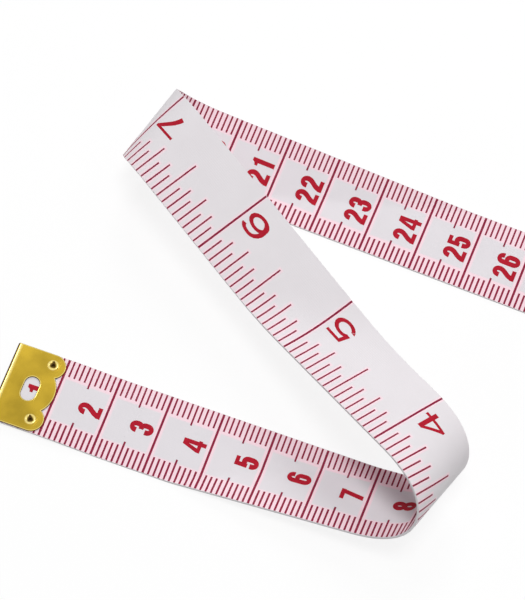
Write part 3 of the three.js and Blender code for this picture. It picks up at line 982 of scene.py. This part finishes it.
def centimetre_marks():
    """Outlines of the centimetre face's numerals, and of its lines and the ticks at both edges."""
    glyphs = narrow_glyphs()
    numerals, lines = [], []
    for reading in range(1, TAPE_LENGTH):
        drift = DRIFT * cos(2 * pi * (reading - DRIFT_START) / DRIFT_LENGTH)
        if reading % CENTIMETRE == 0:
            number = reading // CENTIMETRE
            lines.append(line_across(reading, LINE_WIDTH))
            width = NARROW_WIDTH + NARROW_PITCH * (len(str(number)) - 1)
            left = NARROW_SHIFT + drift + OFF_ROW.get(number, 0) - width / 2
            outlines = written(glyphs, number, NARROW_PITCH)
            foot = reading - NARROW_GAP
            numerals.append([np.stack([foot - o[:, 1], left + o[:, 0]], 1) for o in outlines])
            continue
        length = FIVE_LENGTH if reading % (CENTIMETRE // 2) == 0 else TICK_LENGTH
        lines += ticks(reading, LEFT_TICK_WIDTH, half_width - length + drift, print_edge)
        lines += ticks(reading, RIGHT_TICK_WIDTH, -print_edge, length + drift - half_width)
    return numerals, lines


def inch_marks():
    """Outlines of the inch face's numerals, and of its lines and the ticks at the right edge."""
    glyphs = broad_glyphs()
    numerals, lines = [], []
    for part in range(1, int(TAPE_LENGTH / INCH * INCH_PARTS)):
        reading = part * INCH / INCH_PARTS
        if part % INCH_PARTS == 0:
            number = part // INCH_PARTS
            lines.append(line_across(reading, INCH_LINE_WIDTH))
            outlines = written(glyphs, number, BROAD_PITCH)
            left = reading - BROAD_GAP - max(o[:, 0].max() for o in outlines)
            base = BROAD_BASE + INCH_OFF_ROW.get(number, 0)
            numerals.append([np.stack([left + o[:, 0], base - o[:, 1]], 1) for o in outlines])
            continue
        length = next(INCH_TICKS[step] for step in INCH_TICKS if part % step == 0)
        lines += ticks(reading, INCH_TICK_WIDTH, -print_edge, length - half_width)
    return numerals, lines


def anticlockwise(outline):
    x, y = outline[:, 0], outline[:, 1]
    area = np.sum(x * np.roll(y, -1) - y * np.roll(x, -1))
    return outline if area > 0 else outline[::-1]


def index_loops(outlines):
    """The outlines as loops of indices into all their points."""
    starts = np.cumsum([0] + [len(outline) for outline in outlines])
    return [list(range(a, b)) for a, b in zip(starts, starts[1:])]


def cut_flat(outlines):
    """Triangles that cover some overlapping outlines, cut along the lines where the strip bends."""
    outlines = [anticlockwise(outline) for outline in outlines]
    points = np.vstack(outlines)
    low, high = points.min(0), points.max(0)
    ends = cut_lines[:, :1] + np.outer(cut_lines[:, 1], (low[1], high[1]))
    crossing = ends[(ends.min(1) < high[0]) & (ends.max(1) > low[0])]
    flat = [Vector(p - low) for p in points]
    edges = []
    for first, second in crossing:
        edges.append((len(flat), len(flat) + 1))
        flat += [Vector((first - low[0], 0)), Vector((second - low[0], high[1] - low[1]))]
    loops = index_loops(outlines)
    verts, _, triangles, _, _, sources = delaunay_2d_cdt(flat, edges, loops, 0, CUT_CLOSENESS)
    kept = np.array([t for t, source in zip(triangles, sources) if source])
    used, kept = np.unique(kept, return_inverse=True)
    return np.array([verts[i] for i in used]) + low, kept.reshape(-1, 3)


def rim_edges(triangles):
    """Edges that only one triangle has, in its direction."""
    edges = np.vstack([triangles[:, [0, 1]], triangles[:, [1, 2]], triangles[:, [2, 0]]])
    known = set(map(tuple, edges.tolist()))
    return [(a, b) for a, b in known if (b, a) not in known]


def make_print(name, kinds, face, inks):
    """Marks on a face, 1 or -1. Each is a closed slab that reaches a little into the cloth and
    stands a little out of it."""
    flat, heights, faces, materials = [], [], [], []
    total = 0
    for kind, mark in [(kind, mark) for kind, marks in enumerate(kinds) for mark in marks]:
        points, triangles = cut_flat(mark)
        count = len(points)
        flat += [points, points]
        heights += [half_thickness + INK_RISE] * count + [half_thickness - INK_SINK] * count
        made = triangles.tolist() + (triangles[:, ::-1] + count).tolist()
        made += [(a, a + count, b + count, b) for a, b in rim_edges(triangles)]
        for corners in made:
            faces.append([corner + total for corner in corners[::face]])
        materials += [kind] * len(made)
        total += 2 * count
    reading, side = np.vstack(flat).T
    points = place(reading, side, face * np.array(heights))
    piece = new_piece(name, points, faces, inks)
    piece.data.polygons.foreach_set("material_index", materials)
    return piece


# The brass clip: a flat blank with a rounded edge, folded over the tape's end. Its places are u,
# along the sheet from the middle of the fold, v, across, and w, out of the sheet from its middle

def arc_points(x, y, radius, first, last):
    steps = max(2, ceil(abs(last - first) / ARC_DEGREES))
    angles = np.radians(np.linspace(first, last, steps + 1))
    return [(x + radius * cos(a), y + radius * sin(a)) for a in angles]


def steps_along(last):
    """Places from the fold's middle to a place on the leaf, close together round the fold."""
    round_fold = np.linspace(0, fold_half, FOLD_STEPS + 1)
    on_leaf = np.linspace(fold_half, last, ceil((last - fold_half) / PLATE_STEP) + 1)
    return np.concatenate([round_fold, on_leaf[1:]])


def blank_outlines():
    """The blank's edge, anticlockwise, and its holes, clockwise."""
    lobe_u = CLIP_REACH - LOBE_RADIUS + to_u
    lobe_v = clip_width / 2 - LOBE_RADIUS
    notch = radians(NOTCH_ANGLE)
    notch_u = lobe_u + LOBE_RADIUS * cos(notch)
    notch_v = lobe_v - LOBE_RADIUS * sin(notch)
    depth = CLIP_REACH + to_u - notch_u
    middle_radius = (notch_v ** 2 + depth ** 2) / (2 * depth)
    middle_u = CLIP_REACH + to_u - middle_radius
    middle_angle = degrees(atan2(notch_v, notch_u - middle_u))
    side = [(u, -clip_width / 2) for u in steps_along(lobe_u)]
    half = side + arc_points(lobe_u, -lobe_v, LOBE_RADIUS, -90, NOTCH_ANGLE)[1:]
    half += arc_points(middle_u, 0, middle_radius, -middle_angle, middle_angle)[1:]
    half += arc_points(lobe_u, lobe_v, LOBE_RADIUS, -NOTCH_ANGLE, 90)[1:]
    half += [(u, clip_width / 2) for u in steps_along(lobe_u)[::-1]][1:]
    edge = half + [(-u, -v) for u, v in half[1:-1]]
    outlines = [np.array(edge)]
    window_u = WINDOW_CENTRE + to_u
    window_radius = WINDOW_WIDTH / 2
    window_end = (WINDOW_LENGTH - WINDOW_WIDTH) / 2
    window = []
    for sign, first in ((1, 0), (-1, 180)):
        window += arc_points(window_u, sign * window_end, window_radius, first, first + 180)
        window.append((window_u - sign * window_radius, 0))
    holes = [np.array(window)]
    for side in (rivet_y, -rivet_y):
        holes.append(np.array(arc_points(rivet_x + to_u, side, hole_radius, 0, 360)[:-1]))
    for hole in holes:
        outlines += [hole[::-1], -hole[::-1]]
    return outlines


def inset(outline, distance):
    """An outline moved into the sheet."""
    along = np.roll(outline, -1, 0) - outline
    along /= np.linalg.norm(along, axis=1)[:, None]
    inward = np.stack([-along[:, 1], along[:, 0]], 1)
    before = np.roll(inward, 1, 0)
    share = 1 + np.sum(inward * before, axis=1)
    return outline + distance * (inward + before) / share[:, None]


def distance_to(outline, points):
    least = np.full(len(points), np.inf)
    for start, run in zip(outline, np.roll(outline, -1, 0) - outline):
        share = np.clip((points - start) @ run / (run @ run), 0, 1)
        least = np.minimum(least, np.linalg.norm(points - start - share[:, None] * run, axis=1))
    return least


def inside(outline, points):
    x, y = points[:, 0], points[:, 1]
    odd = np.zeros(len(points), bool)
    for (ax, ay), (bx, by) in zip(outline, np.roll(outline, -1, 0)):
        if ay != by:
            odd ^= ((ay > y) != (by > y)) & (x < (bx - ax) * (y - ay) / (by - ay) + ax)
    return odd


def edge_profile():
    """The sheet's edge from the outer face to the inner one, as inset, height, painted highlight and
    painted shade.
    """
    half = CLIP_SHEET / 2
    rolled = []
    for angle in np.linspace(0, pi / 2, EDGE_STEPS + 1):
        from_edge = EDGE_ROLL * (1 - sin(angle))
        height = half - EDGE_DROP * (1 - cos(angle))
        painted_highlight = EDGE_PAINTED_HIGHLIGHT * max(0, sin(pi * angle / EDGE_PAINTED_HIGHLIGHT_END))
        painted_shade = np.clip(EDGE_PAINTED_SHADE_RISE * (angle - EDGE_PAINTED_SHADE_START), 0, 1)
        rolled.append((from_edge, height, painted_highlight, EDGE_PAINTED_SHADE * painted_shade))
    inner = [(0, EDGE_BREAK - half), (EDGE_BREAK, -half), (EDGE_ROLL, -half)]
    return rolled + [(*level, 0.0, EDGE_PAINTED_SHADE) for level in inner]


def flat_clip():
    """Points (u, v, w) and faces of the blank, with its painted highlights and painted shade."""
    outlines = blank_outlines()
    rings = [inset(outline, EDGE_ROLL) for outline in outlines]
    us = steps_along(CLIP_REACH + to_u)
    vs = np.linspace(-clip_width / 2, clip_width / 2, ceil(clip_width / PLATE_STEP) + 1)
    grid = np.array([(u, v) for u in np.concatenate([-us[:0:-1], us]) for v in vs])
    for number, ring in enumerate(rings):
        kept_side = inside(ring, grid) == (number == 0)
        grid = grid[kept_side & (distance_to(ring, grid) > GRID_CLEARANCE)]
    blank_loop, *hole_loops = index_loops(rings)
    loops = [blank_loop] + [loop[::-1] for loop in hole_loops]
    flat = [Vector(p) for p in np.vstack(rings + [grid])]
    verts, _, triangles, _, _, sources = delaunay_2d_cdt(flat, [], loops, 0, CUT_CLOSENESS)
    kept = [t for t, source in zip(triangles, sources) if source == [0]]
    half, count = CLIP_SHEET / 2, len(verts)
    points = [(*v, half) for v in verts] + [(*v, -half) for v in verts]
    faces = [tuple(t) for t in kept] + [tuple(i + count for i in reversed(t)) for t in kept]
    profile = edge_profile()
    painted_light = [(0.0, 0.0)] * len(points)
    for outline in outlines:
        faces += ring_walls(len(points), len(outline), len(profile))
        for distance, height, painted_highlight, painted_shade in profile:
            points += [(*p, height) for p in inset(outline, distance)]
            painted_light += [(painted_highlight, painted_shade)] * len(outline)
    points, (painted_highlight, painted_shade) = np.array(points), np.array(painted_light).T

    # A highlight is painted in a band just past the fold's end, and shade is painted on its back
    past = np.abs(points[:, 0]) - fold_half
    band = np.clip(1.5 - np.abs(past - FOLD_PAINTED_HIGHLIGHT_AT) / FOLD_PAINTED_HIGHLIGHT_REACH, 0, 1)
    back = np.clip(FOLD_PAINTED_SHADE_RISE * (-past / fold_half - FOLD_PAINTED_SHADE_START), 0, 1)
    painted_highlight = np.maximum(painted_highlight, FOLD_PAINTED_HIGHLIGHT * band)
    return points, faces, painted_highlight, np.maximum(painted_shade, FOLD_PAINTED_SHADE * back)


def fold_clip(points):
    """From the flat blank to the clip's own frame: x into the tape, y across, z out of the face."""
    u, v, w = points.T
    for sign in (1, -1):
        for side in (rivet_y, -rivet_y):
            away = np.hypot(u - sign * (rivet_x + to_u), v - side)
            w = w - DISH_DEPTH * np.exp(-(away / DISH_RADIUS) ** 4)
    angle = np.clip(u / clip_middle_radius, -pi / 2, pi / 2)
    radius = clip_middle_radius + w
    x = clip_outer_radius - radius * np.cos(angle) + np.maximum(np.abs(u) - fold_half, 0)
    return np.stack([x, v, radius * np.sin(angle)], 1)


def to_end(station, inward, points):
    """From a clip's own frame to the end of the tape, in metres."""
    axes = np.stack([station.along * inward, station.across * inward, station.up])
    return (station.point + points @ axes) * MM


def rivet_profile():
    """A rivet's outline: its low head below, the shank, the curled rim above and the bore in it."""
    seat = clip_outer_radius - DISH_DEPTH
    curl = []
    for angle in np.linspace(0, pi / 2, CURL_STEPS):
        across = RIM_CREST + (RIM_RADIUS - RIM_CREST) * cos(angle)
        curl.append((across, seat + (rim_top - seat) * sin(angle)))
    funnel = []
    for share in np.linspace(0, 1, FUNNEL_STEPS)[1:]:
        across = RIM_CREST + (BORE_RADIUS - RIM_CREST) * share
        funnel.append((across, rim_top - BORE_MOUTH * (1 - cos(share * pi / 2))))
    head = [(across, -height) for across, height in curl[::-1]]
    shank = [(RIVET_SHANK_RADIUS, -seat), (RIVET_SHANK_RADIUS, seat)]
    bore = [(BORE_RADIUS, -BORE_DEPTH), (0.0, -BORE_DEPTH)]
    return np.array([(0.0, -rim_top)] + head + shank + curl + funnel + bore)


def rivet_mesh(split_direction):
    """Points and faces of a rivet about z, with its painted highlight and painted shade. Its bore
    has soft corners, is wider towards the split and has shade painted dark there."""
    profile = rivet_profile()
    angles = np.linspace(0, 2 * pi, RIVET_SIDES, endpoint=False)
    past = angles - split_direction
    radius, height = (np.tile(column[:, None], (1, RIVET_SIDES)) for column in profile.T)
    narrow = np.clip((RIM_CREST - radius) / (RIM_CREST - BORE_RADIUS), 0, 1)
    narrow[profile[:, 1] < clip_inner_radius - BORE_DEPTH] = 0
    uneven = BORE_SPREAD * np.cos(BORE_CORNERS * past) + BORE_SHIFT * np.cos(past)
    radius = radius * (1 + narrow * uneven)
    points = np.stack([radius * np.cos(angles), radius * np.sin(angles), height], 2)
    faces = [(a, d, c, b) for a, b, c, d in ring_walls(0, RIVET_SIDES, len(profile))]
    # Shade is painted down in the bore and towards the split, and a highlight on the rest of the rim
    sunk = np.clip((rim_top - profile[:, 1:]) / BORE_MOUTH, 0, 1)
    sunk[:-FUNNEL_STEPS - 1] = 0
    split = np.clip(1 - np.arccos(np.cos(past)) / SPLIT_ANGLE, 0, 1) * (sunk > SPLIT_DEPTH)
    bore_shade = BORE_PAINTED_SHADE_RISE * sunk - BORE_PAINTED_SHADE_START + SPLIT_PAINTED_SHADE * split
    painted_shade = np.clip(bore_shade, 0, BORE_PAINTED_SHADE)
    painted_highlight = RIM_PAINTED_HIGHLIGHT * np.clip(1 - sunk - painted_shade, 0, 1)
    return points.reshape(-1, 3), faces, painted_highlight.ravel(), painted_shade.ravel()


def brass_piece(name, node_name, points, faces, painted_highlight, painted_shade, brass):
    """A piece with its painted highlight and painted shade, and its coinciding points made one."""
    piece = new_piece(name, points, faces, [brass], [node_name])
    for attribute, shares in (("painted_highlight", painted_highlight), ("painted_shade", painted_shade)):
        piece.data.attributes.new(attribute, "FLOAT", "POINT").data.foreach_set("value", shares)
    work = bmesh.new()
    work.from_mesh(piece.data)
    bmesh.ops.remove_doubles(work, verts=work.verts, dist=WELD)
    work.to_mesh(piece.data)
    work.free()
    smooth(piece.data)
    return piece


def make_clip(name, station, inward, brass):
    """A clip and its two rivets."""
    points, *rest = flat_clip()
    points = to_end(station, inward, fold_clip(points))
    made = [brass_piece(f"{name}_brass", name, points, *rest, brass)]
    for letter, side in (("a", rivet_y), ("b", -rivet_y)):
        points, *rest = rivet_mesh(SPLIT_DIRECTIONS[letter])
        points = to_end(station, inward, points + (rivet_x, side, 0))
        names = f"{name}_eyelet_{letter}", f"{name}_rivet_{letter}"
        made.append(brass_piece(*names, points, *rest, brass))
    return made


def make_punch(station, inward, side):
    work = bmesh.new()
    bmesh.ops.create_cone(
        work, cap_ends=True, segments=RIVET_SIDES, radius1=hole_radius, radius2=hole_radius,
        depth=PUNCH_DEPTH,
    )
    for vert in work.verts:
        own = np.array([[vert.co.x + rivet_x, vert.co.y + side, vert.co.z]])
        vert.co = Vector(to_end(station, inward, own)[0])
    mesh = bpy.data.meshes.new("punch")
    work.to_mesh(mesh)
    work.free()
    return add_object("punch", mesh)


def pierce(tape):
    """Rivet holes through both ends of the tape."""
    ends = ((zero_end, 1), (far_end, -1))
    punches = [make_punch(*end, side) for end in ends for side in (rivet_y, -rivet_y)]
    for punch in punches:
        cut = tape.modifiers.new("rivet_hole", "BOOLEAN")
        cut.operation, cut.solver, cut.object = "DIFFERENCE", "EXACT", punch
    depsgraph = bpy.context.evaluated_depsgraph_get()
    pierced = bpy.data.meshes.new_from_object(tape.evaluated_get(depsgraph))
    tape.modifiers.clear()
    tape.data = pierced
    for punch in punches:
        bpy.data.objects.remove(punch)


tape = make_tape()
pierce(tape)
inks = [ink_material("red_ink", INK), ink_material("crimson_ink", LINE_INK)]
print_front = make_print("print_centimetres", centimetre_marks(), 1, inks)
print_back = make_print("print_inches", inch_marks(), -1, inks)
brass = brass_material()
on_tape = [print_front, print_back]
on_tape += make_clip("zero_clip", zero_end, 1, brass)
on_tape += make_clip("far_clip", far_end, -1, brass)


# Floor, light and camera

def seen_straight(tree):
    """1 for rays of the camera and for those that mirror or pass through, 0 for the rest."""
    path = node(tree, "LightPath", {})
    straight = maths(tree, "MAXIMUM", path["Is Camera Ray"], path["Is Glossy Ray"])
    return maths(tree, "MAXIMUM", straight, path["Is Transmission Ray"])


def make_floor():
    """A pale table, which looks white to the camera and in metal, but for the shadows on it."""
    mesh = bpy.data.meshes.new("floor")
    reach = FLOOR_SIZE / 2
    corners = [(-reach, -reach, 0), (reach, -reach, 0), (reach, reach, 0), (-reach, reach, 0)]
    mesh.from_pydata(corners, [], [(0, 1, 2, 3)])
    floor = add_object("floor", mesh)
    material, tree, shader = new_material("white_table")
    tree.nodes.remove(shader)
    glow = node(tree, "Emission", {"Strength": 1 - FLOOR_SHADOW})[0]
    plain, lit = (
        node(tree, "BsdfDiffuse", {"Color": (grey, grey, grey, 1)})[0]
        for grey in (FLOOR_BOUNCE, FLOOR_SHADOW)
    )
    seen = node(tree, "AddShader", {0: glow, 1: lit})[0]
    both = node(tree, "MixShader", {0: seen_straight(tree), 1: plain, 2: seen})[0]
    connect(tree, tree.nodes["Material Output"], {"Surface": both})
    mesh.materials.append(material)


def make_world():
    world = bpy.data.worlds.new("white_room")
    world.use_nodes = True
    scene.world = world
    tree = world.node_tree
    strength = carried(tree, seen_straight(tree), SKY, 1.0)
    connect(tree, tree.nodes["Background"], {"Color": (1, 1, 1, 1), "Strength": strength})


def make_lamp(name, location, aim, size, power, mirrored):
    light = bpy.data.lights.new(name, "AREA")
    light.shape, light.size, light.energy = "DISK", size, power
    lamp = add_object(name, light)
    lamp.location = location
    lamp.rotation_euler = (Vector(aim) - Vector(location)).to_track_quat("-Z", "Y").to_euler()
    lamp.visible_glossy = mirrored


def make_camera():
    camera = bpy.data.cameras.new("camera")
    camera.lens, camera.sensor_width, camera.sensor_fit = CAMERA_LENS, CAMERA_SENSOR, "AUTO"
    holder = add_object("camera", camera)
    axes = Matrix((CAMERA_RIGHT, CAMERA_UP, CAMERA_BACK)).transposed().to_4x4()
    holder.matrix_world = Matrix.Translation(CAMERA_PLACE) @ axes
    scene.camera = holder


make_floor()
make_world()
for name, lamp in LAMPS.items():
    make_lamp(name, *lamp)
make_camera()
scene.view_settings.view_transform = "Standard"
